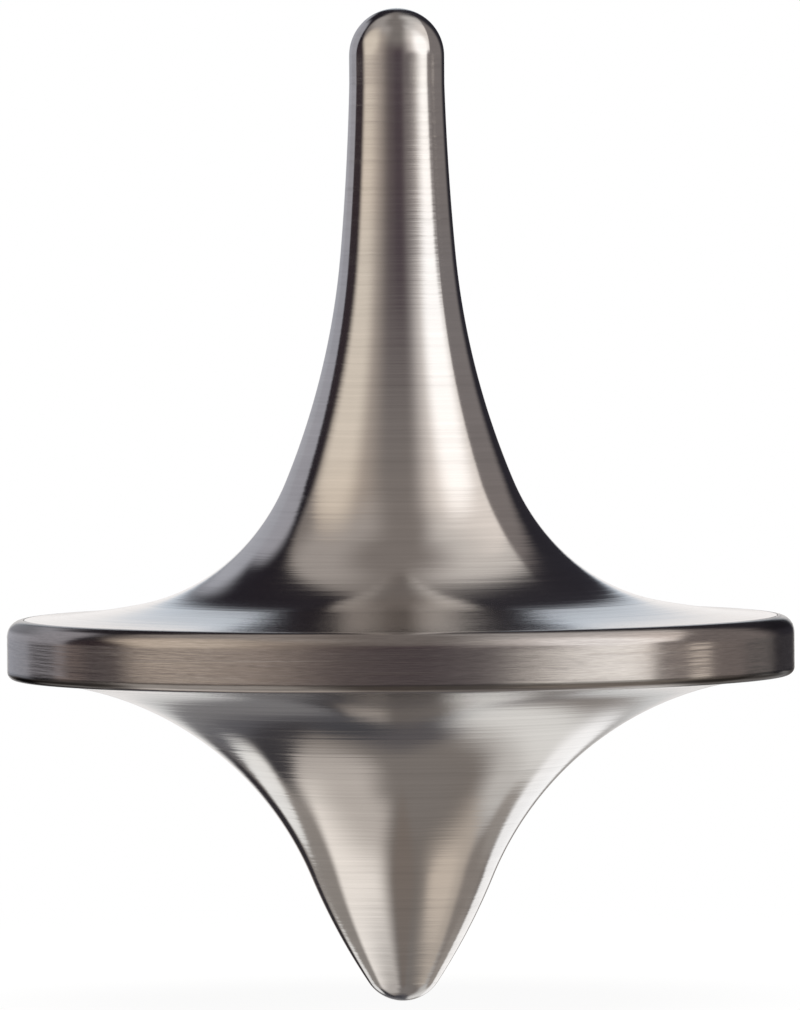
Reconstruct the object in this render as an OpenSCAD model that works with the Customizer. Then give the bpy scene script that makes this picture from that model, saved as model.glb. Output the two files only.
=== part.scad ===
// Hand-spun metal top, built the way an assembled precision top is built:
// a turned handle with a flared upper shell, a heavy rim ring clamped between
// two flanges, a turned lower cone, one stud that screws the two halves
// together and a hardened pin pressed into the cone as the spinning point.
// Millimetres, +Z up along the spin axis, origin at the point that touches
// the table.

/* [Overall] */
// Height of the whole top, from the spinning point to the top of the dome
overall_height = 36.07; // [35.5:0.01:37]
// Outside diameter of the rim ring
rim_diameter = 28.6; // [28:0.1:29.4]

/* [Handle] */
// Diameter of the grip land just below the dome
grip_diameter = 3.46; // [3.3:0.02:3.7]
// Length of the true cylinder at the grip land
grip_length = 1.0; // [0.5:0.1:1.5]
// Slope of the stem where it leaves the grip land, from vertical
stem_start_angle = 1.6; // [1:0.1:2]
// Slope of the stem where the long upper sweep ends
stem_mid_angle = 5.1; // [4.8:0.1:5.4]
// Radius of the second sweep, the waist of the stem
waist_radius = 28; // [27:0.5:29]
// Slope where the waist sweep ends
waist_end_angle = 22.7; // [22:0.1:23.4]
// Radius of the upper half of the tight flare
flare_radius_a = 7.8; // [7.4:0.1:8.2]
// Slope where the upper half of the tight flare ends
flare_mid_angle = 41.2; // [40:0.1:42]
// Radius of the lower half of the tight flare
flare_radius_b = 7.2; // [6.9:0.1:7.5]
// Slope where the tight flare runs out into the flange
flare_end_angle = 79; // [78:0.1:80]
// Slope of the flange where it meets the rim
flange_end_angle = 87.6; // [87:0.1:88]

/* [Rim ring] */
// Height of the upper edge line, where flange and rim ring meet
upper_edge_height = 13.96; // [13.85:0.01:14.05]
// Radius of the rim ring's upper corner
upper_corner_radius = 0.6; // [0.5:0.05:0.7]
// Height of the lower edge line, where rim ring and cone flange meet
lower_edge_height = 11.79; // [11.7:0.01:11.85]
// Radius of the rim ring's lower corner
lower_corner_radius = 0.3; // [0.2:0.05:0.35]
// Thickness of the clamped inner tongue of the ring
tongue_thickness = 1.0; // [0.8:0.1:1.1]
// Height of the tongue's middle
tongue_mid_height = 12.9; // [12.85:0.05:12.95]
// Bore of the ring, which centres on the handle's register
ring_bore_diameter = 19; // [16:0.5:21]
// Radial gap at the two edge lines
edge_gap = 0.02; // [0.015:0.005:0.03]
// Radial running clearance of the register and the pilot
locating_clearance = 0.03; // [0.02:0.01:0.05]

/* [Lower cone] */
// Slope of the cone flange where it meets the rim, from vertical
cone_flange_angle = 87.9; // [87:0.1:88.4]
// Slope where the cone's flare runs out into its flange
cone_flare_angle = 76; // [75:0.1:77]
// Smallest slope of the cone, at its inflection
cone_waist_angle = 22.7; // [22.3:0.1:23.1]
// Radius of the bulge between the inflection and the point
bulge_radius = 23; // [22:0.1:24]

/* [Spinning point] */
// Diameter of the dowel pin pressed into the cone
pin_diameter = 2.5; // [2.4:0.05:2.6]
// Radius of the pin's domed end
point_radius = 1.5; // [1.45:0.01:1.6]
// Overall length of the pin
pin_length = 6; // [5:0.5:6]
// Radial interference of the pressed pin
pin_interference = 0.001; // [0.001:0.001:0.003]
// Diameter of the hole a punch drives the pin out through
knockout_diameter = 1.2; // [0.8:0.1:1.4]

/* [Stud and holes] */
// Nominal diameter of the stud thread
thread_diameter = 4; // [4:0.1:4.2]
// Pitch of the stud thread
thread_pitch = 0.7; // [0.7:0.05:0.75]
// Length of the stud
stud_length = 10; // [9.6:0.1:10]
// Height of the stud's lower end
stud_bottom = 7.4; // [7.4:0.1:7.6]
// Radial clearance of the turning thread in the cone
thread_clearance = 0.04; // [0.03:0.01:0.06]
// Diameter of the pilot that centres the handle in the cone
pilot_diameter = 6; // [5.6:0.1:6.4]
// Length of the pilot
pilot_length = 1.0; // [0.8:0.1:1.2]

/* [Colours] */
// Polished, finely turned steel of handle and cone
turned_colour = "#b5aea8";
// Coarser brushed, slightly warmer steel of the rim
brushed_colour = "#8d827b";
// Hardened pin
pin_colour = "#a39d99";
// Black-oxide stud
stud_colour = "#4a4746";

/* [Hidden] */

$fn = 180;
rim_r = rim_diameter/2;
grip_r = grip_diameter/2;
pin_r = pin_diameter/2;
pilot_r = pilot_diameter/2;
ring_bore_r = ring_bore_diameter/2;

// the two edge lines; the lower one lies a small step inside the ring's corner
lower_edge_step = 0.04;
upper_edge_r = rim_r - upper_corner_radius;
lower_edge_r = rim_r - lower_corner_radius - lower_edge_step;
flange_r = upper_edge_r - edge_gap;
cone_flange_r = lower_edge_r - edge_gap;

// clamped tongue, and the register and pilot of the handle
tongue_top = tongue_mid_height + tongue_thickness/2;
tongue_bottom = tongue_mid_height - tongue_thickness/2;
register_r = ring_bore_r - locating_clearance;
pilot_bottom = tongue_bottom - pilot_length;
end_play = 0.02;
register_face = tongue_bottom + end_play;
pilot_face = pilot_bottom + end_play;

// chamfers
pilot_chamfer = 0.15;
register_chamfer = 0.1;
ring_chamfer = 0.08;

// spinning point: the cone's flank is tangent to the domed end where the pin
// leaves it, and the cone itself ends a little above
cone_end_gap = 0.05;
point_angle = acos(pin_r/point_radius);
point_top = point_radius - sqrt(point_radius*point_radius - pin_r*pin_r);
cone_end = point_top + cone_end_gap;

// ---- tangent arcs -------------------------------------------------------
// A joint is [r, z, slope], with the slope from vertical. Arcs run outwards
// from the axis, DOWN the handle or UP the cone. They turn OUTWARD (a hollow
// sweep) or INWARD (a bulge).
DOWN = -1;
UP = 1;
OUTWARD = 1;
INWARD = -1;

function arc_centre(joint, radius, turn, climb) =
    [joint[0] + turn*radius*cos(joint[2]), joint[1] - turn*climb*radius*sin(joint[2])];
function arc_end(joint, radius, end_slope, turn, climb) =
    let (centre = arc_centre(joint, radius, turn, climb))
    [centre[0] - turn*radius*cos(end_slope),
     centre[1] + turn*climb*radius*sin(end_slope),
     end_slope];

// An arc moves by its radius times the width and height of its sweep
function sweep_width(start, end) = cos(start) - cos(end);
function sweep_height(start, end) = sin(end) - sin(start);

// Radii of two arcs, each given by its [start, end] slopes, that together
// cover the given width and height
function free_radii(first, second, width, height) =
    let (
        w1 = sweep_width(first[0], first[1]),
        h1 = sweep_height(first[0], first[1]),
        w2 = sweep_width(second[0], second[1]),
        h2 = sweep_height(second[0], second[1]),
        determinant = w1*h2 - w2*h1)
    [(width*h2 - w2*height)/determinant, (w1*height - width*h1)/determinant];

// ---- handle: dome, grip land, long sweep, waist, flare, flange ----------
// The radii of the long sweep and the flange are solved, so that the chain
// lands on the upper edge line.
dome_r = grip_r;
land_top = overall_height - dome_r;
land_bottom = land_top - grip_length;
handle_free = free_radii(
    [stem_start_angle, stem_mid_angle],
    [flare_end_angle, flange_end_angle],
    flange_r - grip_r
        - waist_radius*sweep_width(stem_mid_angle, waist_end_angle)
        - flare_radius_a*sweep_width(waist_end_angle, flare_mid_angle)
        - flare_radius_b*sweep_width(flare_mid_angle, flare_end_angle),
    land_bottom - upper_edge_height
        - waist_radius*sweep_height(stem_mid_angle, waist_end_angle)
        - flare_radius_a*sweep_height(waist_end_angle, flare_mid_angle)
        - flare_radius_b*sweep_height(flare_mid_angle, flare_end_angle));
stem_sweep_radius = handle_free[0];
flange_sweep_radius = handle_free[1];
stem_start = [grip_r, land_bottom, stem_start_angle];
waist_start = arc_end(stem_start, stem_sweep_radius, stem_mid_angle, OUTWARD, DOWN);
flare_a_start = arc_end(waist_start, waist_radius, waist_end_angle, OUTWARD, DOWN);
flare_b_start = arc_end(flare_a_start, flare_radius_a, flare_mid_angle, OUTWARD, DOWN);
flange_start = arc_end(flare_b_start, flare_radius_b, flare_end_angle, OUTWARD, DOWN);

// ---- cone: bulge, flare, flange -----------------------------------------
// The radii of flare and flange are solved, to land on the lower edge line.
bulge_start = [pin_r, point_top, point_angle];
cone_flare_start = arc_end(bulge_start, bulge_radius, cone_waist_angle, INWARD, UP);
cone_free = free_radii(
    [cone_waist_angle, cone_flare_angle],
    [cone_flare_angle, cone_flange_angle],
    cone_flange_r - cone_flare_start[0],
    lower_edge_height - cone_flare_start[1]);
cone_flare_radius = cone_free[0];
cone_flange_radius = cone_free[1];
cone_flange_start =
    arc_end(cone_flare_start, cone_flare_radius, cone_flare_angle, OUTWARD, UP);

// ---- thread and holes ---------------------------------------------------
crest_trim = 0.01;
bond_overlap = 0.03; // the stud's crests reach this far into the handle
thread_depth = 0.6134*thread_pitch;
thread_r = thread_diameter/2;
crest_r = thread_r - crest_trim;
root_r = thread_r - thread_depth;
cone_hole_r = crest_r + thread_clearance;
handle_hole_r = crest_r - bond_overlap;
hole_gap_above = 0.3; // free length of the holes past the stud's ends
hole_gap_below = 0.2;
handle_hole_top = stud_bottom + stud_length + hole_gap_above;
cone_hole_bottom = stud_bottom - hole_gap_below;
drill_tip_angle = 31; // slope of the hole's conical end, from horizontal
pin_hole_gap = 0.05; // above the pin

// countersinks: depth below the face, how far the cutter runs out past the
// face, and the hole radius plus these at its wide and narrow ends
sink_depth = 0.3;
sink_narrow = -0.05;
handle_sink_wide = 0.35;
handle_sink_runout = 0.1;
cone_sink_wide = 0.3;
cone_sink_runout = 0.05;

// how far cutters run past the faces they open
overcut = 1;
short_overcut = 0.5;

// ---- section tools ------------------------------------------------------
// A half section's corners lie a little off its arcs, on the side that the
// discs cut away or fill, so each arc runs clean to the next one.
spare = 0.05;
function beside(joint, side, climb) =
    [joint[0] + side*spare*cos(joint[2]), joint[1] - side*climb*spare*sin(joint[2])];

// the slice of a disc between two polar angles, about its own centre
module slice(centre, radius, from, to) {
    reach = 1.6*radius; // far enough that the polygon's edges clear the disc
    intersection() {
        translate(centre) circle(r = radius);
        polygon([
            centre,
            for (angle = [from, (from + to)/2, to])
                centre + reach*[cos(angle), sin(angle)]]);
    }
}

// What a hollow sweep takes away. Two sweeps that touch are nested discs, so
// the smaller may run on past the joint into the bigger by a small angle,
// before its start or after its end, and no sliver stays between the two.
run_on = 1;
module scoop(joint, radius, end_slope, climb, before = 0, after = 0)
    slice(arc_centre(joint, radius, OUTWARD, climb), radius,
        180 - climb*(joint[2] - before), 180 - climb*(end_slope + after));

// ---- handle -------------------------------------------------------------
// half section of the handle, hole left out
module handle_section() {
    difference() {
        polygon([
            [0, pilot_face],
            [pilot_r - pilot_chamfer, pilot_face],
            [pilot_r, pilot_face + pilot_chamfer],
            [pilot_r, register_face],
            [register_r - register_chamfer, register_face],
            [register_r, register_face + register_chamfer],
            [register_r, tongue_top],
            [flange_r, tongue_top],
            [flange_r, upper_edge_height + spare],
            beside(flange_start, 1, DOWN),
            beside(flare_b_start, 1, DOWN),
            beside(flare_a_start, 1, DOWN),
            beside(waist_start, 1, DOWN),
            [grip_r, land_bottom],
            [grip_r, land_top],
            [0, land_top]]);
        scoop(stem_start, stem_sweep_radius, stem_mid_angle, DOWN);
        scoop(waist_start, waist_radius, waist_end_angle, DOWN, before = run_on/2);
        scoop(flare_a_start, flare_radius_a, flare_mid_angle, DOWN, before = run_on);
        scoop(flare_b_start, flare_radius_b, flare_end_angle, DOWN,
            before = run_on, after = run_on);
        scoop(flange_start, flange_sweep_radius, flange_end_angle, DOWN, after = run_on);
    }
    // dome
    intersection() {
        translate([0, land_top]) circle(r = dome_r);
        translate([0, land_top]) square([dome_r + overcut, dome_r + overcut]);
    }
}

// Domed stem, flare and upper flange, turned from one bar, tapped from below
module handle_stem() color(turned_colour)
    difference() {
        rotate_extrude() handle_section();
        translate([0, 0, pilot_bottom - overcut])
            cylinder(r = handle_hole_r, h = handle_hole_top - pilot_bottom + overcut);
        translate([0, 0, handle_hole_top])
            cylinder(r1 = handle_hole_r, r2 = 0, h = handle_hole_r*tan(drill_tip_angle));
        // countersink at the mouth of the tapped hole
        translate([0, 0, pilot_face - handle_sink_runout])
            cylinder(
                r1 = handle_hole_r + handle_sink_wide,
                r2 = handle_hole_r + sink_narrow,
                h = sink_depth + handle_sink_runout);
    }

// ---- rim ring -----------------------------------------------------------
// half section of the rim ring: outer band with two rounded corners, and the
// tongue that the flanges clamp
module ring_section() {
    upper_corner_r = rim_r - upper_corner_radius;
    lower_corner_r = rim_r - lower_corner_radius;
    difference() {
        polygon([
            [ring_bore_r, tongue_bottom + ring_chamfer],
            [ring_bore_r + ring_chamfer, tongue_bottom],
            [lower_edge_r, tongue_bottom],
            [lower_edge_r, lower_edge_height],
            [rim_r, lower_edge_height],
            [rim_r, upper_edge_height],
            [upper_edge_r, upper_edge_height],
            [upper_edge_r, tongue_top],
            [ring_bore_r + ring_chamfer, tongue_top],
            [ring_bore_r, tongue_top - ring_chamfer]]);
        translate([upper_corner_r, upper_edge_height - upper_corner_radius])
            square(2*upper_corner_radius);
        translate([lower_corner_r, lower_edge_height - lower_corner_radius])
            square(2*lower_corner_radius);
    }
    slice([upper_corner_r, upper_edge_height - upper_corner_radius],
        upper_corner_radius, 0, 90);
    slice([lower_corner_r, lower_edge_height + lower_corner_radius],
        lower_corner_radius, -90, 0);
}

// Heavy rim ring
module flywheel_ring() color(brushed_colour)
    rotate_extrude() ring_section();

// ---- lower cone ---------------------------------------------------------
// half section of the cone, holes left out. It stops a little above the
// domed end of the pin, which leaves a narrow flat round the pin
module cone_section() {
    intersection() {
        union() {
            difference() {
                polygon([
                    [0, point_top],
                    [pin_r, point_top],
                    beside(cone_flare_start, -1, UP),
                    beside(cone_flange_start, 1, UP),
                    [cone_flange_r, lower_edge_height - spare],
                    [cone_flange_r, tongue_bottom],
                    [0, tongue_bottom]]);
                scoop(cone_flare_start, cone_flare_radius, cone_flare_angle, UP,
                    before = run_on, after = run_on);
                scoop(cone_flange_start, cone_flange_radius, cone_flange_angle, UP,
                    after = run_on);
            }
            // the bulge stands proud of its chord
            slice(arc_centre(bulge_start, bulge_radius, INWARD, UP), bulge_radius,
                -point_angle, run_on - cone_waist_angle);
        }
        translate([0, cone_end]) square([rim_r, tongue_bottom - cone_end]);
    }
}

// Lower cone with its flange, counterbored and drilled for the stud from
// above and for the pin from below
module lower_cone() color(turned_colour)
    difference() {
        rotate_extrude() cone_section();
        // counterbore for the handle's pilot
        translate([0, 0, pilot_bottom])
            cylinder(r = pilot_r + locating_clearance, h = pilot_length + overcut);
        // tapped hole, drawn as the clear bore the stud turns in
        translate([0, 0, cone_hole_bottom])
            cylinder(r = cone_hole_r, h = pilot_bottom - cone_hole_bottom + short_overcut);
        // its countersink
        translate([0, 0, pilot_bottom - sink_depth])
            cylinder(
                r1 = cone_hole_r + sink_narrow,
                r2 = cone_hole_r + cone_sink_wide,
                h = sink_depth + cone_sink_runout);
        // knock-out hole between stud hole and pin hole
        translate([0, 0, pin_length - short_overcut])
            cylinder(
                r = knockout_diameter/2,
                h = cone_hole_bottom - pin_length + 2*short_overcut);
        // reamed hole for the pin
        cylinder(r = pin_r, h = pin_length + pin_hole_gap);
    }

// ---- pin ----------------------------------------------------------------
// half section of the pin: the domed end, then a body that widens to the
// press fit over a short lead and ends in a chamfer
module pin_section() {
    press_r = pin_r + pin_interference;
    lead_start = point_top + 0.02;
    lead_end = point_top + 0.12;
    chamfer_width = 0.2;
    chamfer_height = 0.25;
    intersection() {
        translate([0, point_radius]) circle(r = point_radius);
        square([pin_r, point_top]);
    }
    polygon([
        [0, point_top],
        [pin_r, point_top],
        [pin_r, lead_start],
        [press_r, lead_end],
        [press_r, pin_length - chamfer_height],
        [press_r - chamfer_width, pin_length],
        [0, pin_length]]);
}

// Hardened dowel pin with a domed end, the point the top spins on
module tip_pin() color(pin_colour)
    rotate_extrude() pin_section();

// ---- stud ---------------------------------------------------------------
// One thread profile per pitch, swept as a helix: each station has four
// points (root, crest, crest, root), so the surface closes onto itself one
// pitch further up. The ends are cut square and chamfered.
thread_steps = 28;
thread_turns = ceil(stud_length/thread_pitch) + 2;
profile_heights = [0, 0.375, 0.5, 0.875]; // in pitches
profile_radii = [root_r, crest_r, crest_r, root_r];

function helix_point(i, radius, height) =
    let (angle = 360*i/thread_steps)
    [radius*cos(angle), radius*sin(angle), thread_pitch*(i/thread_steps + height - 1)];

module helix() {
    last = thread_steps*thread_turns;
    points = concat(
        [for (i = [0:last]) for (k = [0:3])
            helix_point(i, profile_radii[k], profile_heights[k])],
        // one more turn of root points closes the top pitch
        [for (i = [last + 1:last + thread_steps]) helix_point(i, root_r, 0)],
        [[0, 0, -2*thread_pitch], [0, 0, thread_pitch*(thread_turns + 1)]]);
    closing_turn = 4*(last + 1);
    axis_low = closing_turn + thread_steps;
    axis_high = axis_low + 1;
    // index of point k of station i; k = 4 is the next pitch's first point
    function at(i, k) =
        k < 4 ? 4*i + k
        : i + thread_steps <= last ? 4*(i + thread_steps)
        : closing_turn + i + thread_steps - last - 1;
    polyhedron(points = points, faces = concat(
        // flanks, crest and root, one pitch deep
        [for (i = [0:last - 1]) for (k = [0:3]) for (half = [0, 1])
            half == 0
                ? [at(i, k), at(i + 1, k + 1), at(i + 1, k)]
                : [at(i, k), at(i, k + 1), at(i + 1, k + 1)]],
        // lower end: a fan from the axis, and the first profile closed flat
        [for (i = [0:thread_steps - 1]) [axis_low, at(i, 0), at(i + 1, 0)]],
        [for (k = [0:3]) [axis_low, at(0, k + 1), at(0, k)]],
        // upper end, likewise
        [for (i = [last - thread_steps:last - 1]) [axis_high, at(i + 1, 4), at(i, 4)]],
        [for (k = [0:3]) [axis_high, at(last, k), at(last, k + 1)]]));
}

// Stud that screws the halves together, bonded into the handle
module threaded_stud() color(stud_colour) {
    // the 45 degree chamfers run from inside the root to outside the crest
    margin = 0.1;
    end_r = root_r - margin;
    outer_r = crest_r + margin;
    chamfer = outer_r - end_r;
    intersection() {
        translate([0, 0, stud_bottom]) helix();
        translate([0, 0, stud_bottom]) rotate_extrude() polygon([
            [0, 0],
            [end_r, 0],
            [outer_r, chamfer],
            [outer_r, stud_length - chamfer],
            [end_r, stud_length],
            [0, stud_length]]);
    }
}

handle_stem();
flywheel_ring();
lower_cone();
threaded_stud();
tip_pin();
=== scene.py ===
"""A turned steel spinning top, standing on its point pin at the origin with its axis along +Z.

From the top down: a slim domed handle flaring into a flange, a rim ring held between two
flanges, a cone, and a pin with a rounded point. A threaded stud lies inside. The pieces are
lathe meshes with turned-metal materials, lit by cards painted on the world. The camera
stands on -Y.
"""
import bpy
import bmesh
from collections import namedtuple
from math import acos, asin, atan2, ceil, cos, hypot, pi, radians, sin, sqrt
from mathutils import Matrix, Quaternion, Vector


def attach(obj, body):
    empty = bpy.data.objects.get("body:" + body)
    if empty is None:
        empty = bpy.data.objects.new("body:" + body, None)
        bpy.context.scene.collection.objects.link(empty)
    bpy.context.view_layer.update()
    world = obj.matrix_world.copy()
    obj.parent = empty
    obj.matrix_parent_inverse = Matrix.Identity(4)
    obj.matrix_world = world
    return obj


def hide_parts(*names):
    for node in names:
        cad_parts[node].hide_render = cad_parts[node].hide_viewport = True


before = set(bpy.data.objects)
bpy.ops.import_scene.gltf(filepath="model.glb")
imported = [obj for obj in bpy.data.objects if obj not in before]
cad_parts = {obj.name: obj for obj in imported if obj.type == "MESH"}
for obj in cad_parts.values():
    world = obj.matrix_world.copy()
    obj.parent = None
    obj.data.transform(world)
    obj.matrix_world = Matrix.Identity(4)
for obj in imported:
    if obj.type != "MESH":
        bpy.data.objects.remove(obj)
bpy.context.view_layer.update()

# ---------------------------------------------------------------------------
# dimensions of the top, in millimetres
# ---------------------------------------------------------------------------
MM = 0.001                    # metres in a millimetre
HEIGHT = 36.07
GRIP_R = 1.73                 # radius of the handle and of its dome
GRIP_LENGTH = 1.0             # straight part below the dome
FLANGE_R = 13.68              # upper flange, at the foot of the handle
CONE_FLANGE_R = 13.94         # lower flange, at the top of the cone
FLANGE_GAP = 0.02             # between a flange and the ring round it
BEVEL = 0.014                 # deburred edge of the flanges

RIM_R = 14.3
UP_EDGE_Z, UP_CORNER = 13.96, 0.6       # upper edge of the ring and its corner radius
LOW_EDGE_Z, LOW_CORNER = 11.79, 0.3     # the same for the lower edge
UP_RECESS_R = FLANGE_R + FLANGE_GAP
LOW_RECESS_R = CONE_FLANGE_R + FLANGE_GAP
RING_LIP = 0.012              # width of the break where a ring edge meets its recess

# the ring's inward tongue, clamped between the two flanges
TONGUE_TOP, TONGUE_BOTTOM, TONGUE_R = 13.4, 12.4, 9.5
TONGUE_CORNER = 0.08
CHAMFER = 0.03                # small corners of the meeting faces

BOSS_R, BOSS_Z = 3.0, 11.42             # the handle's central boss and its lower face
SOCKET_R, SOCKET_Z = 3.03, 11.4         # the pocket in the cone that takes it
HANDLE_BORE_R, CONE_BORE_R = 1.96, 2.03

PIN_R, PIN_TOP = 1.25, 6.0
POINT_R = 1.5                           # sphere of the pin's point
PIN_EDGE_Z = POINT_R - sqrt(POINT_R ** 2 - PIN_R ** 2)   # where sphere and pin wall meet

WALL_STEP = 0.9               # longest edge along the hidden straight walls


# ---------------------------------------------------------------------------
# profile points, (radius, z)
# ---------------------------------------------------------------------------
def onward(start, radius, lean, bend, rise):
    """End of an arc tangent to start = (r, z, lean). Lean is the angle from the axis.
    bend is 1 where the lean grows along the arc and -1 where it shrinks; rise is 1 going
    up and -1 going down."""
    r, z, from_lean = start
    centre_r = r + bend * radius * cos(from_lean)
    centre_z = z - bend * rise * radius * sin(from_lean)
    return (centre_r - bend * radius * cos(lean),
            centre_z + bend * rise * radius * sin(lean), lean)


def tangent_arc(start, radius, lean, bend, rise, step):
    """Points after the start of a tangent arc, about step apart, and the state at its end."""
    turn = lean - start[2]
    count = max(2, int(ceil(radius * abs(turn) / step)))
    points = [onward(start, radius, start[2] + turn * i / count, bend, rise)[:2]
              for i in range(1, count + 1)]
    return points, onward(start, radius, lean, bend, rise)


def arc_span(from_lean, to_lean):
    """Width and height of a growing arc of radius 1."""
    return cos(from_lean) - cos(to_lean), sin(to_lean) - sin(from_lean)


def fit_radii(first_leans, second_leans, width, height):
    """Radii of two arcs that together cover a width and a height."""
    w1, h1 = arc_span(*first_leans)
    w2, h2 = arc_span(*second_leans)
    det = w1 * h2 - w2 * h1
    return (width * h2 - w2 * height) / det, (w1 * height - width * h1) / det


def circle_part(centre_r, centre_z, radius, start, end, count):
    """Points of a circle after its start angle."""
    angles = [start + (end - start) * i / count for i in range(1, count + 1)]
    return [(centre_r + radius * cos(a), centre_z + radius * sin(a)) for a in angles]


def spaced(start, end, step):
    """Points after the start of a straight line, at most step apart."""
    dr, dz = end[0] - start[0], end[1] - start[1]
    count = max(1, int(ceil(hypot(dr, dz) / step)))
    return [(start[0] + dr * i / count, start[1] + dz * i / count) for i in range(1, count + 1)]


def extend(points, corners, step=WALL_STEP):
    """The points, carried on by straight walls through the corners."""
    points = list(points)
    for corner in corners:
        points += spaced(points[-1], corner, step)
    return points


def handle_outline():
    """Dome to flange edge. The first and last arcs are fitted to reach the flange."""
    leans = [radians(v) for v in (1.6, 5.1, 22.7, 41.2, 79.0, 87.6)]
    middle_radii = [28.0, 7.8, 7.2]
    steps = [0.32, 0.28, 0.16, 0.13, 0.22]
    dome_z = HEIGHT - GRIP_R
    grip_end = dome_z - GRIP_LENGTH

    width, height = FLANGE_R - GRIP_R, grip_end - UP_EDGE_Z
    for i, radius in enumerate(middle_radii, 1):
        w, h = arc_span(leans[i], leans[i + 1])
        width -= radius * w
        height -= radius * h
    first, last = fit_radii(leans[:2], leans[4:], width, height)

    points = [(0.0, HEIGHT)] + circle_part(0, dome_z, GRIP_R, pi / 2, 0, 26)
    points += [(GRIP_R, dome_z - GRIP_LENGTH * i / 4) for i in range(1, 5)]
    state = (GRIP_R, grip_end, leans[0])
    for radius, lean, step in zip([first] + middle_radii + [last], leans[1:], steps):
        arc, state = tangent_arc(state, radius, lean, bend=1, rise=-1, step=step)
        points += arc
    return points


def cone_outline():
    """Flange edge down to the narrow flat round the pin."""
    waist, flare, edge = radians(22.7), radians(76.0), radians(87.9)
    state = (PIN_R, PIN_EDGE_Z, acos(PIN_R / POINT_R))
    points = [state[:2]]
    arc, state = tangent_arc(state, 23.0, waist, bend=-1, rise=1, step=0.13)
    points += arc
    radii = fit_radii((waist, flare), (flare, edge),
                      CONE_FLANGE_R - state[0], LOW_EDGE_Z - state[1])
    for radius, lean, step in zip(radii, (flare, edge), (0.17, 0.2)):
        arc, state = tangent_arc(state, radius, lean, bend=1, rise=1, step=step)
        points += arc

    # cut level just above the pin's edge
    cut_z = PIN_EDGE_Z + 0.004
    kept = [p for p in points if p[1] > cut_z + 0.01]
    a, b = points[0], kept[0]
    t = (cut_z - a[1]) / (b[1] - a[1])
    return kept[::-1] + [(a[0] + t * (b[0] - a[0]), cut_z)]


# ---------------------------------------------------------------------------
# lathe meshes
# ---------------------------------------------------------------------------
def is_loop(profile):
    return profile[0][0] > 1e-9 or profile[-1][0] > 1e-9


def corners(profile, limit=radians(14.0)):
    """Indexes of the profile points that turn by more than the limit."""
    found = set()
    count = len(profile)
    for i in range(count):
        if not is_loop(profile) and i in (0, count - 1):
            continue
        p, q, r = profile[i - 1], profile[i], profile[(i + 1) % count]
        before = atan2(q[1] - p[1], q[0] - p[0])
        after = atan2(r[1] - q[1], r[0] - q[0])
        if abs((after - before + pi) % (2 * pi) - pi) > limit:
            found.add(i)
    return found


def lathe(name, profile, segments, sharp, radius_at=None):
    """Turns a profile, with both ends on the axis or a closed loop, into a mesh object.
    sharp holds the profile indexes whose edge ring is a real corner. The attribute "along"
    keeps each vertex's distance along the profile in mm, for the turning lines."""
    verts, along, rings = [], [], []
    distance = 0.0
    for i, (r, z) in enumerate(profile):
        if i:
            distance += hypot(r - profile[i - 1][0], z - profile[i - 1][1])
        first = len(verts)
        if r < 1e-9:
            verts.append((0.0, 0.0, z * MM))
        else:
            for k in range(segments):
                t = 2 * pi * k / segments
                radius = radius_at(r, z, t) if radius_at else r
                verts.append((radius * cos(t) * MM, radius * sin(t) * MM, z * MM))
        rings.append(range(first, len(verts)))
        along += [distance] * len(rings[-1])

    faces = []
    following = rings[1:] + (rings[:1] if is_loop(profile) else [])
    for a, b in zip(rings, following):
        for k in range(segments):
            n = (k + 1) % segments
            if len(a) == 1:
                faces.append((a[0], b[k], b[n]))
            elif len(b) == 1:
                faces.append((a[k], b[0], a[n]))
            else:
                faces.append((a[k], b[k], b[n], a[n]))
    mesh = bpy.data.meshes.new(name)
    mesh.from_pydata(verts, [], faces)
    mesh.validate()

    bm = bmesh.new()
    bm.from_mesh(mesh)
    bmesh.ops.recalc_face_normals(bm, faces=bm.faces)
    ring_of = {v: i for i in sharp for v in rings[i]}
    for edge in bm.edges:
        a, b = (v.index for v in edge.verts)
        if a in ring_of and ring_of[a] == ring_of.get(b):
            edge.smooth = False
    for face in bm.faces:
        face.smooth = True
    bm.to_mesh(mesh)
    bm.free()
    mesh.attributes.new("along", "FLOAT", "POINT").data.foreach_set("value", along)
    return add_object(name, mesh)


def add_object(name, data):
    obj = bpy.data.objects.new(name, data)
    bpy.context.scene.collection.objects.link(obj)
    return obj


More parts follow.
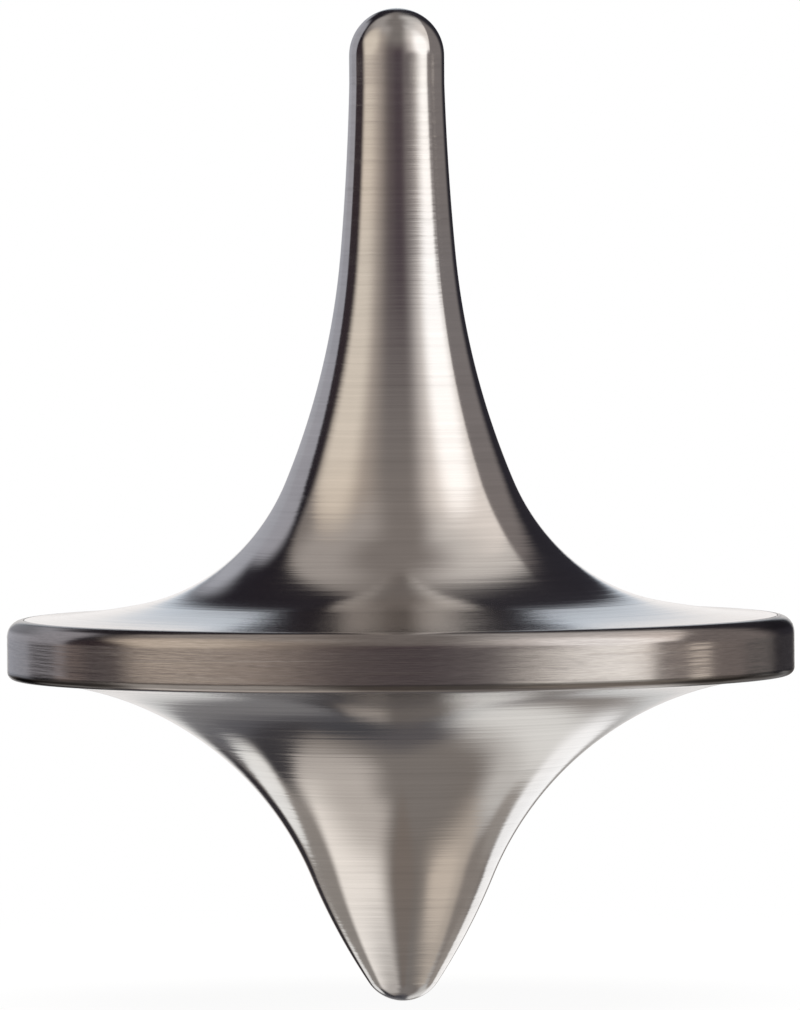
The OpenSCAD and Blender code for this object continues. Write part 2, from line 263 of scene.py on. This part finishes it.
# ---------------------------------------------------------------------------
# node helper
# ---------------------------------------------------------------------------
class Graph:
    """An emptied node tree of a material or world. Values may be numbers or sockets."""

    def __init__(self, owner):
        owner.use_nodes = True
        self.tree = owner.node_tree
        self.tree.nodes.clear()

    def node(self, kind, **settings):
        node = self.tree.nodes.new(kind)
        for key, value in settings.items():
            setattr(node, key, value)
        return node

    def put(self, socket, value):
        if isinstance(value, bpy.types.NodeSocket):
            self.tree.links.new(value, socket)
        else:
            socket.default_value = value

    def math(self, operation, *values):
        node = self.node("ShaderNodeMath", operation=operation)
        for socket, value in zip(node.inputs, values):
            self.put(socket, value)
        return node.outputs[0]

    def add(self, a, b):
        return self.math("ADD", a, b)

    def sub(self, a, b):
        return self.math("SUBTRACT", a, b)

    def mul(self, a, b):
        return self.math("MULTIPLY", a, b)

    def about(self, value, amount):
        """A 0 to 1 value centred on zero and scaled."""
        return self.mul(self.sub(value, 0.5), amount)

    def mix(self, factor, a, b):
        node = self.node("ShaderNodeMix", data_type="RGBA", clamp_factor=True)
        self.put(node.inputs[0], factor)
        self.put(node.inputs[6], a)
        self.put(node.inputs[7], b)
        return node.outputs[2]

    def mix_shader(self, factor, a, b):
        node = self.node("ShaderNodeMixShader")
        for socket, value in zip(node.inputs, (factor, a, b)):
            self.put(socket, value)
        return node.outputs[0]

    def smooth(self, value, low, high, start=0.0, end=1.0):
        """A smooth ramp from start at low to end at high."""
        node = self.node("ShaderNodeMapRange", interpolation_type="SMOOTHERSTEP", clamp=True)
        self.put(node.inputs["Value"], value)
        for key, setting in (("From Min", low), ("From Max", high),
                             ("To Min", start), ("To Max", end)):
            self.put(node.inputs[key], setting)
        return node.outputs["Result"]

    def band(self, value, fade_in, fade_out):
        """1 between two ramps, 0 outside them."""
        return self.mul(self.smooth(value, *fade_in), self.smooth(value, *fade_out, 1.0, 0.0))

    def combine(self, x, y, z):
        node = self.node("ShaderNodeCombineXYZ")
        for socket, value in zip(node.inputs, (x, y, z)):
            self.put(socket, value)
        return node.outputs[0]

    def separate(self, vector):
        node = self.node("ShaderNodeSeparateXYZ")
        self.put(node.inputs[0], vector)
        return node.outputs

    def noise(self, vector, scale, detail=2.0, rough=0.5):
        node = self.node("ShaderNodeTexNoise", noise_dimensions="3D")
        self.put(node.inputs["Vector"], vector)
        self.put(node.inputs["Scale"], scale)
        self.put(node.inputs["Detail"], detail)
        self.put(node.inputs["Roughness"], rough)
        return node.outputs["Fac"]


# ---------------------------------------------------------------------------
# metals
# ---------------------------------------------------------------------------
def toned(g, band, tone):
    """1 outside a band, the tone inside it."""
    return g.sub(1.0, g.mul(band, 1.0 - tone))


def painted_edge_shade(g, z, ends):
    """Painted shade: the tone, below 1, of the bands that show only where the wall turns away
    from a level eye.
    """
    def flat_dot(a, b):
        return g.add(g.mul(a[0], b[0]), g.mul(a[1], b[1]))

    geometry = g.node("ShaderNodeNewGeometry")
    view = g.separate(geometry.outputs["Incoming"])
    spot = g.separate(geometry.outputs["Position"])
    lengths = g.mul(g.math("SQRT", flat_dot(view, view)), g.math("SQRT", flat_dot(spot, spot)))
    facing = g.math("ABSOLUTE", g.math("DIVIDE", flat_dot(view, spot),
                                       g.math("MAXIMUM", lengths, 1e-6)))
    level = g.smooth(g.math("ABSOLUTE", view[2]), 0.10, 0.35, 1.0, 0.0)
    painted_shade = 1.0
    for end in ends:
        band = g.band(z, end["fade_in"], end["fade_out"])
        band = g.mul(band, g.mul(level, g.smooth(facing, *end["facing"], 1.0, 0.0)))
        painted_shade = g.mul(painted_shade, toned(g, band, end["tone"]))
    return painted_shade


def turned_metal(name, base, across, along_rough, line_scale, line_bump, line_tint, turn=0.35,
                 wave=0.0, hair_turn=2.0, hair_tint=0.03, cut=0.5, cloud=0.05,
                 painted_light_band=None, ends=(), calm=None):
    """Turned or brushed metal. Lines run round the axis: they vary quickly with the distance
    along the profile and only slowly round it. Heights are in metres.

    across, along_rough   roughness across the lines and along them
    line_scale            lines per millimetre
    line_bump, line_tint  depth of the lines in metres, and how much they vary the tone
    turn, hair_turn       how often a line, or a hair line, changes on its way round
    wave                  how far the lines wander, in millimetres
    hair_tint, cloud      how much the hair lines and the clouds vary the tone
    cut                   how strongly single deeper tool marks show
    painted_light_band    a band round the piece with light painted into its colour: painted shade where the tone is below 1, a painted highlight above 1
    ends                  painted shade on bands seen only at the left and right of a level view
    calm                  makes the lines shallower above a height, and what is left of them
    """
    material = bpy.data.materials.new(name)
    g = Graph(material)
    output = g.node("ShaderNodeOutputMaterial")
    bsdf = g.node("ShaderNodeBsdfPrincipled")
    g.put(output.inputs[0], bsdf.outputs[0])

    along = g.node("ShaderNodeAttribute", attribute_type="GEOMETRY",
                   attribute_name="along").outputs["Fac"]
    position = g.node("ShaderNodeTexCoord").outputs["Object"]
    x, y, z = g.separate(position)
    angle = g.math("ARCTAN2", y, x)
    round_x, round_y = g.math("COSINE", angle), g.math("SINE", angle)

    if wave:
        wander = g.noise(g.combine(g.mul(round_x, 2.2), g.mul(round_y, 2.2), g.mul(along, 0.5)),
                         scale=1.0, detail=2.0)
        along = g.add(along, g.about(wander, wave))

    def lines(density, around, detail, offset=0.0):
        vector = g.combine(g.mul(round_x, around), g.mul(round_y, around),
                           g.add(g.mul(along, density), offset))
        return g.noise(vector, scale=1.0, detail=detail, rough=0.6)

    fine = lines(line_scale, turn, detail=3.0)
    broad = lines(line_scale * 0.23, turn * 0.6, detail=2.0, offset=31.0)
    hair = lines(line_scale * 2.6, hair_turn, detail=1.0, offset=57.0)
    # single deeper tool marks
    marks = g.smooth(lines(line_scale * 0.7, turn * 0.8, detail=0.0, offset=83.0), 0.62, 0.74)
    clouds = g.noise(position, scale=260.0, detail=3.0, rough=0.55)

    # tone of the base colour
    tone = g.add(g.about(fine, line_tint), g.about(broad, line_tint * 0.8))
    tone = g.add(tone, g.about(clouds, cloud))
    tone = g.add(tone, g.about(hair, hair_tint))
    tone = g.sub(tone, g.mul(marks, line_tint * cut))
    tone = g.add(tone, 1.0)
    # painted light: inside the band the base colour is scaled by the tone, darker for painted
    # shade, brighter for a painted highlight
    if painted_light_band:
        ragged = g.add(z, g.about(fine, 0.00006))
        band = g.band(ragged, painted_light_band["fade_in"], painted_light_band["fade_out"])
        tone = g.mul(tone, toned(g, band, painted_light_band["tone"]))
    # painted shade at the ring's ends in a level view, also taken off the specular tint
    if ends:
        painted_shade = painted_edge_shade(g, z, ends)
        tone = g.mul(tone, painted_shade)
        g.put(bsdf.inputs["Specular Tint"], g.mix(painted_shade, (0, 0, 0, 1), (1, 1, 1, 1)))
    toned_base = g.node("ShaderNodeVectorMath", operation="SCALE")
    g.put(toned_base.inputs[0], base)
    g.put(toned_base.inputs["Scale"], tone)

    # a little warm and cool drift, as steel has
    drift = g.noise(position, scale=90.0, detail=1.0, rough=0.5)
    tint = g.mix(g.smooth(drift, 0.35, 0.65), (1.02, 1.0, 0.98, 1), (0.985, 1.0, 1.015, 1))
    colour = g.node("ShaderNodeVectorMath", operation="MULTIPLY")
    g.put(colour.inputs[0], toned_base.outputs[0])
    g.put(colour.inputs[1], tint)
    g.put(bsdf.inputs["Base Color"], colour.outputs[0])

    # one roughness and an anisotropy that give both roughnesses
    mean = sqrt(across * along_rough)
    rough = g.add(mean, g.about(hair, mean * 0.4))
    rough = g.add(rough, g.about(clouds, mean * 0.25))
    rough = g.add(rough, g.mul(marks, mean * 0.3))
    ratio = (along_rough / across) ** 2
    g.put(bsdf.inputs["Roughness"], rough)
    g.put(bsdf.inputs["Metallic"], 1.0)
    g.put(bsdf.inputs["Anisotropic"], max(0.0, min(1.0, (1 - ratio) / 0.9)))
    g.put(bsdf.inputs["Anisotropic Rotation"], 0.25)
    tangent = g.node("ShaderNodeTangent", direction_type="RADIAL", axis="Z")
    g.put(bsdf.inputs["Tangent"], tangent.outputs[0])

    height = g.add(fine, g.mul(broad, 1.6))
    height = g.add(height, g.mul(hair, 0.15))
    height = g.sub(height, g.mul(marks, cut))
    bump = g.node("ShaderNodeBump")
    g.put(bump.inputs["Strength"], 1.0)
    if calm:
        line_bump = g.mul(g.smooth(z, *calm["heights"], 1.0, calm["left"]), line_bump)
    g.put(bump.inputs["Distance"], line_bump)
    g.put(bump.inputs["Height"], height)
    g.put(bsdf.inputs["Normal"], bump.outputs[0])
    return material


TURNED_BASE = (0.70, 0.685, 0.675)
RIM_BASE = (0.52, 0.49, 0.475)

METAL_SETTINGS = {
    "turned_steel": dict(
        base=TURNED_BASE, across=0.16, along_rough=0.085,
        line_scale=9.0, line_bump=0.0000045, line_tint=0.20, cut=0.15,
        # painted highlight: a brighter band from 11.6 to 11.9 mm, on the cone just below the
        # ring's lower edge
        painted_light_band=dict(fade_in=(0.01158, 0.01170), fade_out=(0.01186, 0.01190), tone=1.3),
        calm=dict(heights=(0.0330, 0.0333), left=0.4)),
    "brushed_rim_steel": dict(
        base=RIM_BASE, across=0.22, along_rough=0.14,
        line_scale=10.0, line_bump=0.0000040, line_tint=0.20, turn=4.0, wave=0.10,
        hair_turn=26.0, hair_tint=0.34, cut=0.3, cloud=0.10,
        # painted shade: a dark band on the ring's lower rounding, along the seam with the
        # cone's flange
        painted_light_band=dict(fade_in=(0.01188, 0.01195), fade_out=(0.01208, 0.01215), tone=0.45),
        # painted shade, seen only at the ring's left and right ends in a level view: the first
        # band on the lower rounding, the second on the upper rounding; facing: 0 where the wall
        # is edge on, 1 where it faces the eye
        ends=(dict(fade_in=(0.01170, 0.01172), fade_out=(0.01196, 0.01210),
                   tone=0.36, facing=(0.60, 0.80)),
              dict(fade_in=(0.01350, 0.01370), fade_out=(0.01400, 0.01402),
                   tone=0.70, facing=(0.25, 0.50)))),
    "hardened_pin_steel": dict(
        base=(0.68, 0.665, 0.66), across=0.16, along_rough=0.10,
        line_scale=12.0, line_bump=0.0000012, line_tint=0.06),
    "black_oxide_steel": dict(
        base=(0.11, 0.105, 0.10), across=0.42, along_rough=0.36,
        line_scale=5.0, line_bump=0.0000040, line_tint=0.35, turn=2.0, cloud=0.5),
}
METALS = {name: turned_metal(name, **settings) for name, settings in METAL_SETTINGS.items()}


# ---------------------------------------------------------------------------
# the pieces
# ---------------------------------------------------------------------------
def add_piece(name, profile, metal, rides, replaces, segments=224, sharp=None, radius_at=None):
    if sharp is None:
        sharp = corners(profile)
    obj = lathe(name, profile, segments, sharp, radius_at)
    obj.data.materials.append(METALS[metal])
    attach(obj, rides)
    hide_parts(replaces)


def build_handle():
    outline = handle_outline()
    edge_z = outline[-1][1]
    outline[-1:] = [(FLANGE_R - BEVEL, edge_z + BEVEL * 0.04), (FLANGE_R, edge_z - BEVEL)]
    # underside: flange, step over the tongue, boss, and a bore with a conical end
    face_z = TONGUE_BOTTOM + 0.02
    step_r = TONGUE_R - CHAMFER
    profile = extend(outline, [
        (FLANGE_R, TONGUE_TOP + CHAMFER), (FLANGE_R - CHAMFER, TONGUE_TOP),
        (TONGUE_R, TONGUE_TOP), (step_r, TONGUE_TOP - CHAMFER),
        (step_r, face_z + 0.1), (step_r - 0.1, face_z),
        (BOSS_R + CHAMFER, face_z), (BOSS_R, face_z - CHAMFER),
        (BOSS_R, BOSS_Z + 0.15), (BOSS_R - 0.15, BOSS_Z),
        (2.31, BOSS_Z), (HANDLE_BORE_R, 11.73),
        (HANDLE_BORE_R, 17.7), (0.0, 18.88)])
    add_piece("handle_and_flare", profile, "turned_steel", "handle", "handle_stem")


def build_ring():
    # upper recess, rounded upper corner, outer wall, rounded lower corner
    points = [(UP_RECESS_R, TONGUE_TOP), (UP_RECESS_R, UP_EDGE_Z - 0.014),
              (UP_RECESS_R + RING_LIP, UP_EDGE_Z - 0.001)]
    points += circle_part(RIM_R - UP_CORNER, UP_EDGE_Z - UP_CORNER, UP_CORNER,
                          radians(88.6), 0, 18)
    corner_z = LOW_EDGE_Z + LOW_CORNER
    points = extend(points, [(RIM_R, corner_z)], step=0.11)
    points += circle_part(RIM_R - LOW_CORNER, corner_z, LOW_CORNER, 0, -radians(90), 12)
    # lower recess and the tongue
    points += [(LOW_RECESS_R + RING_LIP, LOW_EDGE_Z), (LOW_RECESS_R, LOW_EDGE_Z + 0.02),
               (LOW_RECESS_R, TONGUE_BOTTOM)]
    points = extend(points, [(TONGUE_R + TONGUE_CORNER, TONGUE_BOTTOM)])
    points.append((TONGUE_R, TONGUE_BOTTOM + TONGUE_CORNER))
    points = extend(points, [(TONGUE_R, TONGUE_TOP - TONGUE_CORNER)], step=0.5)
    points.append((TONGUE_R + TONGUE_CORNER, TONGUE_TOP))
    points = extend(points, [(UP_RECESS_R, TONGUE_TOP)])[:-1]
    add_piece("rim_ring_band", points, "brushed_rim_steel", "rim", "flywheel_ring",
              segments=256)


def build_cone():
    outline = cone_outline()
    edge_z = outline[0][1]
    outline[:1] = [(CONE_FLANGE_R, edge_z + BEVEL),
                   (CONE_FLANGE_R - BEVEL, edge_z - BEVEL * 0.04)]
    # inside: pin hole, narrow hole, bore, boss socket, upper face
    hole_top, bore_z = PIN_TOP + 0.05, 7.2
    profile = extend(outline, [
        (PIN_R, outline[-1][1]), (PIN_R, hole_top), (0.6, hole_top), (0.6, bore_z),
        (CONE_BORE_R, bore_z), (CONE_BORE_R, SOCKET_Z - 0.25),
        (CONE_BORE_R + 0.25, SOCKET_Z), (SOCKET_R, SOCKET_Z),
        (SOCKET_R, TONGUE_BOTTOM - 0.04), (SOCKET_R + 0.04, TONGUE_BOTTOM),
        (CONE_FLANGE_R - CHAMFER, TONGUE_BOTTOM), (CONE_FLANGE_R, TONGUE_BOTTOM - CHAMFER)])
    add_piece("cone_and_flange", profile, "turned_steel", "lower_body", "lower_cone")


def build_pin():
    count = 22
    angles = [asin(PIN_R / POINT_R) * i / count for i in range(1, count + 1)]
    point = [(0.0, 0.0)] + [(POINT_R * sin(t), POINT_R - POINT_R * cos(t)) for t in angles]
    profile = extend(point, [(PIN_R, PIN_EDGE_Z + 0.1), (PIN_R - 0.001, PIN_TOP - 0.25),
                             (PIN_R - 0.2, PIN_TOP), (0.0, PIN_TOP)])
    add_piece("point_pin", profile, "hardened_pin_steel", "lower_body", "tip_pin",
              segments=128)


def build_stud():
    pitch, crest_r, root_r = 0.7, 1.955, 1.5706
    bottom, top, row_step = 7.4, 17.4, 0.05
    thread_r = 1.7      # profile radius that marks the threaded rows
    end_r = root_r - 0.11

    def radius_at(r, z, angle):
        if r != thread_r:
            return r
        # one turn: rising flank, crest, falling flank, root
        flank, crest_end = 0.375, 0.5
        turn = (z / pitch - angle / (2 * pi)) % 1.0
        if turn < flank:
            k = turn / flank
        elif turn < crest_end:
            k = 1.0
        elif turn < crest_end + flank:
            k = 1 - (turn - crest_end) / flank
        else:
            k = 0.0
        # rounded crest and root, then the tapered ends
        k = k * k * (3 - 2 * k) * 0.35 + k * 0.65
        r = root_r + (crest_r - root_r) * k
        from_end = min(z - bottom, top - z)
        return min(r, root_r - 0.1 + max(0.0, from_end) * 1.05)

    rows = int((top - bottom) / row_step)
    bottom_cap = [(0.0, bottom), (0.8, bottom), (end_r, bottom)]
    thread = [(thread_r, bottom + (top - bottom) * i / rows) for i in range(rows + 1)]
    top_cap = [(end_r, top), (0.8, top), (0.0, top)]
    first = len(bottom_cap)
    add_piece("stud_thread", bottom_cap + thread + top_cap, "black_oxide_steel", "handle",
              "threaded_stud", segments=96, sharp={first, first + rows}, radius_at=radius_at)


build_handle()
build_ring()
build_cone()
build_pin()
build_stud()

# ---------------------------------------------------------------------------
# studio: soft cards painted on the world
# ---------------------------------------------------------------------------
# Directions are (azimuth, elevation) in degrees. Azimuth 0 is where the camera stands (-Y),
# positive to its right (+X). Colours are 0-255 sRGB, as the lit metal shows them.
# Card: a rounded spot. at = centre, half = half sizes, soft = edge as a share of the size,
# power = squareness. Panel: four edges, each (place, half its softness). Later shapes
# cover earlier ones.
Card = namedtuple("Card", "at half soft rgb power gain", defaults=(2.0, 1.0))
Panel = namedtuple("Panel", "left right low high rgb")
ALL_HEIGHTS = ((-30, 1), (20, 1))
WHITE = (1.0, 1.0, 1.0, 1.0)

ABOVE_TABLE = [
    Panel((-160, 20), (-30, 30), (48, 10), (72, 10), (150, 143, 138)),   # wall, upper left
    Panel((45, 25), (165, 20), (40, 8), (74, 12), (184, 178, 173)),      # wall, upper right
    Panel((-100, 8), (-34, 26), (-20, 5), (52, 18), (165, 153, 142)),    # warm left card
    Card((-76, 24), (25, 28), 0.6, (204, 191, 176)),
    Panel((30, 25), (124, 6), (-20, 5), (56, 18), (214, 205, 198)),      # key softbox
    Card((67, 22), (21, 27), 0.6, (251, 245, 240), gain=1.08),
    Card((26, -5), (26, 14), 0.8, (102, 94, 93)),
    Card((3, 0), (11, 15), 0.9, (70, 60, 64)),                           # gap in front
    Card((-157, 0), (65, 55), 0.10, (32, 29, 34), power=1.6),            # dark flag, left rear
    Card((-104, 2), (17, 20), 0.6, (48, 40, 43)),
    Card((-136, 0), (20, 38), 0.14, (146, 144, 149), power=2.6),         # greys inside it
    Card((-157, 0), (16, 28), 0.20, (150, 149, 154), power=2.5),
    Card((138, 0), (50, 44), 0.05, (114, 107, 105)),                     # grey flag, right rear
    Card((86, -4), (8, 13), 0.5, (112, 105, 103)),
    Card((162, 14), (24, 44), 0.42, (38, 36, 41)),                       # black, further round
    Card((180, 0), (8, 26), 0.4, (178, 183, 190)),                       # back wall
    Card((180, 0), (8, 10), 0.4, (211, 206, 203)),
]
BELOW_TABLE = [
    Panel((-150, 16), (-28, 22), (-80, 8), (-40, 10), (174, 167, 161)),  # cream left cards
    Panel((-128, 10), (-30, 22), (-54, 16), (20, 5), (227, 220, 213)),
    Panel((40, 24), (112, 16), (-58, 12), (20, 5), (168, 157, 146)),     # warm right card
    Card((62, -43), (22, 9), 0.6, (188, 175, 162)),
    Card((2, -50), (16, 34), 0.6, (112, 103, 97)),
    Panel((110, 14), (177, 3), (-58, 8), (-30, 6), (180, 176, 172)),     # right rear panel
    Card((161, -41), (18, 9), 0.6, (207, 204, 200)),
    Card((-124, -24), (30, 24), 0.30, (132, 126, 121), power=1.4),
    Card((-170, -36), (13, 18), 0.4, (80, 79, 83)),
    Card((-153, -46), (19, 7), 0.4, (54, 52, 55)),
    Card((-148, -31), (12, 9), 0.3, (218, 216, 213)),
    Card((-159, -16), (12, 6), 0.4, (42, 39, 42)),
    Card((112, -32), (19, 11), 0.5, (126, 118, 112)),
    Card((130, -36), (12, 7), 0.5, (140, 133, 127)),
    Card((152, -21), (19, 14), 0.25, (232, 229, 227)),
    Card((185, -25), (8, 16), 0.4, (108, 106, 107)),
    Card((180, -48), (6, 9), 0.5, (76, 75, 78)),
    Card((-179, -60), (15, 10), 0.45, (80, 77, 79)),
    Card((-171, -54), (8, 6), 0.5, (60, 60, 64)),
    Card((181, -14), (9, 6), 0.6, (186, 184, 182)),
    Card((183, -7), (8, 6), 0.5, (204, 199, 196)),
]
# the table's own edge, which is all that the rim sees
TABLE_EDGE = [
    Panel((-84, 12), (-32, 24), *ALL_HEIGHTS, (104, 92, 87)),
    Panel((-124.5, 2), (-107, 6), *ALL_HEIGHTS, (112, 99, 94)),
    Card((-131, 0), (9, 60), 0.4, (40, 37, 39)),
    Panel((-181, 3), (-140, 5), *ALL_HEIGHTS, (120, 119, 124)),
    Panel((33, 14), (82, 8), *ALL_HEIGHTS, (198, 188, 178)),
    Card((60, 0), (15, 60), 0.6, (228, 219, 209)),
    Panel((82, 6), (105, 3), *ALL_HEIGHTS, (124, 114, 109)),
    Card((98.5, 0), (4.5, 60), 0.5, (198, 185, 173)),
    Panel((104, 3), (122, 4), *ALL_HEIGHTS, (98, 89, 86)),
    Panel((121, 3), (142, 3), *ALL_HEIGHTS, (72, 69, 68)),
    Panel((141, 3), (179, 3), *ALL_HEIGHTS, (32, 30, 34)),
]


def shade(rgb, metal=TURNED_BASE, gain=1.0):
    """Linear light that leaves the metal with this sRGB colour."""
    values = [v / 255 for v in rgb]
    linear = [v / 12.92 if v <= 0.04045 else ((v + 0.055) / 1.055) ** 2.4 for v in values]
    return tuple(v * gain / m for v, m in zip(linear, metal)) + (1.0,)


def paint(g, azimuth, elevation, under, shapes, metal=TURNED_BASE):
    """Lays cards and panels over a colour."""
    def turned_from(place):
        return g.math("WRAP", g.sub(azimuth, place), 180.0, -180.0)

    def card_mask(card):
        turned = turned_from(card.at[0])
        raised = g.sub(elevation, card.at[1])
        u, v = [g.math("POWER", g.math("ABSOLUTE", g.math("DIVIDE", offset, half)), card.power)
                for offset, half in zip((turned, raised), card.half)]
        distance = g.math("POWER", g.add(u, v), 1.0 / card.power)
        return g.smooth(distance, 1.0 - card.soft, 1.0 + card.soft, 1.0, 0.0)

    def panel_mask(panel):
        middle = (panel.left[0] + panel.right[0]) / 2
        turned = turned_from(middle)
        mask = None
        for value, (place, soft), origin, ramp in (
                (turned, panel.left, middle, (0.0, 1.0)),
                (turned, panel.right, middle, (1.0, 0.0)),
                (elevation, panel.low, 0, (0.0, 1.0)),
                (elevation, panel.high, 0, (1.0, 0.0))):
            side = g.smooth(value, place - origin - soft, place - origin + soft, *ramp)
            mask = g.mul(mask, side) if mask else side
        return mask

    for shape in shapes:
        if isinstance(shape, Card):
            under = g.mix(card_mask(shape), under, shade(shape.rgb, metal, shape.gain))
        else:
            under = g.mix(panel_mask(shape), under, shade(shape.rgb, metal))
    return under


def build_world():
    world = bpy.data.worlds.new("studio")
    bpy.context.scene.world = world
    g = Graph(world)
    output = g.node("ShaderNodeOutputWorld")
    background = g.node("ShaderNodeBackground")
    g.put(output.inputs[0], background.outputs[0])
    x, y, z = g.separate(g.node("ShaderNodeTexCoord").outputs["Generated"])
    azimuth = g.math("DEGREES", g.math("ARCTAN2", x, g.mul(y, -1.0)))
    elevation = g.math("DEGREES", g.math("ARCSINE", z))

    above = g.mix(g.smooth(elevation, 2.0, 50.0), shade((86, 77, 77)), shade((116, 109, 105)))
    above = paint(g, azimuth, elevation, above, ABOVE_TABLE)
    below = g.mix(g.smooth(elevation, -84.0, -50.0),
                  shade((116, 110, 106)), shade((112, 105, 100)))
    below = paint(g, azimuth, elevation, below, BELOW_TABLE)
    surroundings = g.mix(g.smooth(elevation, -3.4, -1.4), below, above)

    edge_base = shade((77, 70, 70), RIM_BASE)
    edge = g.mix(0.0, edge_base, edge_base)
    edge = paint(g, azimuth, elevation, edge, TABLE_EDGE, RIM_BASE)

    # behind the top the edge is a narrower strip
    far = g.smooth(g.math("ABSOLUTE", azimuth), 146.0, 156.0)
    near_low = g.smooth(elevation, -15.0, -9.0)
    far_low = g.smooth(elevation, -8.0, -4.0)
    mask = g.add(g.mul(near_low, g.sub(1.0, far)), g.mul(far_low, far))
    mask = g.mul(mask, g.smooth(elevation, -3.2, -1.4, 1.0, 0.0))
    mask = g.mul(mask, g.smooth(g.math("ABSOLUTE", azimuth), 164.0, 173.0, 1.0, 0.1))
    surroundings = g.mix(mask, surroundings, edge)

    # the camera itself sees plain white
    camera_ray = g.node("ShaderNodeLightPath").outputs["Is Camera Ray"]
    g.put(background.inputs["Color"], g.mix(camera_ray, surroundings, WHITE))
    g.put(background.inputs["Strength"], 1.0)
    world.cycles.sampling_method = "MANUAL"
    world.cycles.sample_map_resolution = 1024


# ---------------------------------------------------------------------------
# floor, light and camera, in metres
# ---------------------------------------------------------------------------
def floor_mesh():
    """A disc of rings that widen outwards."""
    radii = [0.004, 0.01, 0.02, 0.04, 0.08, 0.16, 0.4, 1.2, 4.0]
    segments = 96
    bm = bmesh.new()
    inner = [bm.verts.new((0, 0, 0))]
    for radius in radii:
        angles = [2 * pi * k / segments for k in range(segments)]
        outer = [bm.verts.new((radius * cos(a), radius * sin(a), 0)) for a in angles]
        for k in range(segments):
            n = (k + 1) % segments
            if len(inner) == 1:
                bm.faces.new((inner[0], outer[k], outer[n]))
            else:
                bm.faces.new((inner[k], outer[k], outer[n], inner[n]))
        inner = outer
    mesh = bpy.data.meshes.new("floor")
    bm.to_mesh(mesh)
    bm.free()
    return mesh


def floor_material():
    """Pale, fading into the white backdrop, and clear from below."""
    material = bpy.data.materials.new("pale_floor")
    g = Graph(material)
    output = g.node("ShaderNodeOutputMaterial")
    diffuse = g.node("ShaderNodeBsdfDiffuse")
    position = g.node("ShaderNodeTexCoord").outputs["Object"]
    grain = g.noise(position, scale=900.0, detail=2.0, rough=0.5)
    g.put(diffuse.inputs["Color"],
          g.mix(g.smooth(grain, 0.2, 0.8), (0.79, 0.79, 0.79, 1), (0.81, 0.81, 0.81, 1)))
    glow = g.node("ShaderNodeEmission")
    g.put(glow.inputs["Color"], WHITE)
    distance = g.node("ShaderNodeVectorMath", operation="LENGTH")
    g.put(distance.inputs[0], position)
    fade = g.smooth(distance.outputs["Value"], 0.012, 0.06, 0.94, 1.0)
    surface = g.mix_shader(fade, diffuse.outputs[0], glow.outputs[0])

    backfacing = g.node("ShaderNodeNewGeometry").outputs["Backfacing"]
    clear = g.node("ShaderNodeBsdfTransparent").outputs[0]
    g.put(output.inputs[0], g.mix_shader(backfacing, surface, clear))
    return material


def build_floor():
    floor = add_object("floor", floor_mesh())
    floor.location = (0, 0, -0.00002)
    floor.data.materials.append(floor_material())
    floor.visible_glossy = False
    floor.visible_diffuse = False


def aim(obj, location, target, roll=None):
    """Places an object and points its -Z at the target, with an optional turn about it."""
    turn = (Vector(target) - Vector(location)).to_track_quat("-Z", "Y")
    if roll is not None:
        turn = turn @ Quaternion((0, 0, 1), roll)
    obj.location = location
    obj.rotation_mode = "QUATERNION"
    obj.rotation_quaternion = turn


def build_light():
    """A disc overhead that lights the floor and isn't mirrored in the metal."""
    data = bpy.data.lights.new("floor_light", "AREA")
    data.shape = "DISK"
    data.size = 0.6
    data.energy = 4.3
    light = add_object("floor_light", data)
    aim(light, location=(0.0, 0.0, 0.50), target=(0, 0, 0))
    light.visible_glossy = False


def build_camera():
    """A long lens a little above the rim, with a slight roll."""
    distance = 0.545
    view_width = 0.036663     # what the frame spans at the axis
    centre_x = 0.000008
    data = bpy.data.cameras.new("camera")
    camera = add_object("camera", data)
    data.sensor_fit = "AUTO"
    data.sensor_width = 36.0
    data.lens = data.sensor_width * distance / view_width
    data.clip_start = 0.01
    data.clip_end = 20.0
    aim(camera, location=(centre_x, -distance, 0.0354), target=(centre_x, 0.0, 0.01803),
        roll=-0.0070)
    bpy.context.scene.camera = camera


build_world()
build_floor()
build_light()
build_camera()
bpy.context.scene.view_settings.view_transform = "Standard"
bpy.context.scene.view_settings.look = "None"

bpy.context.view_layer.update()
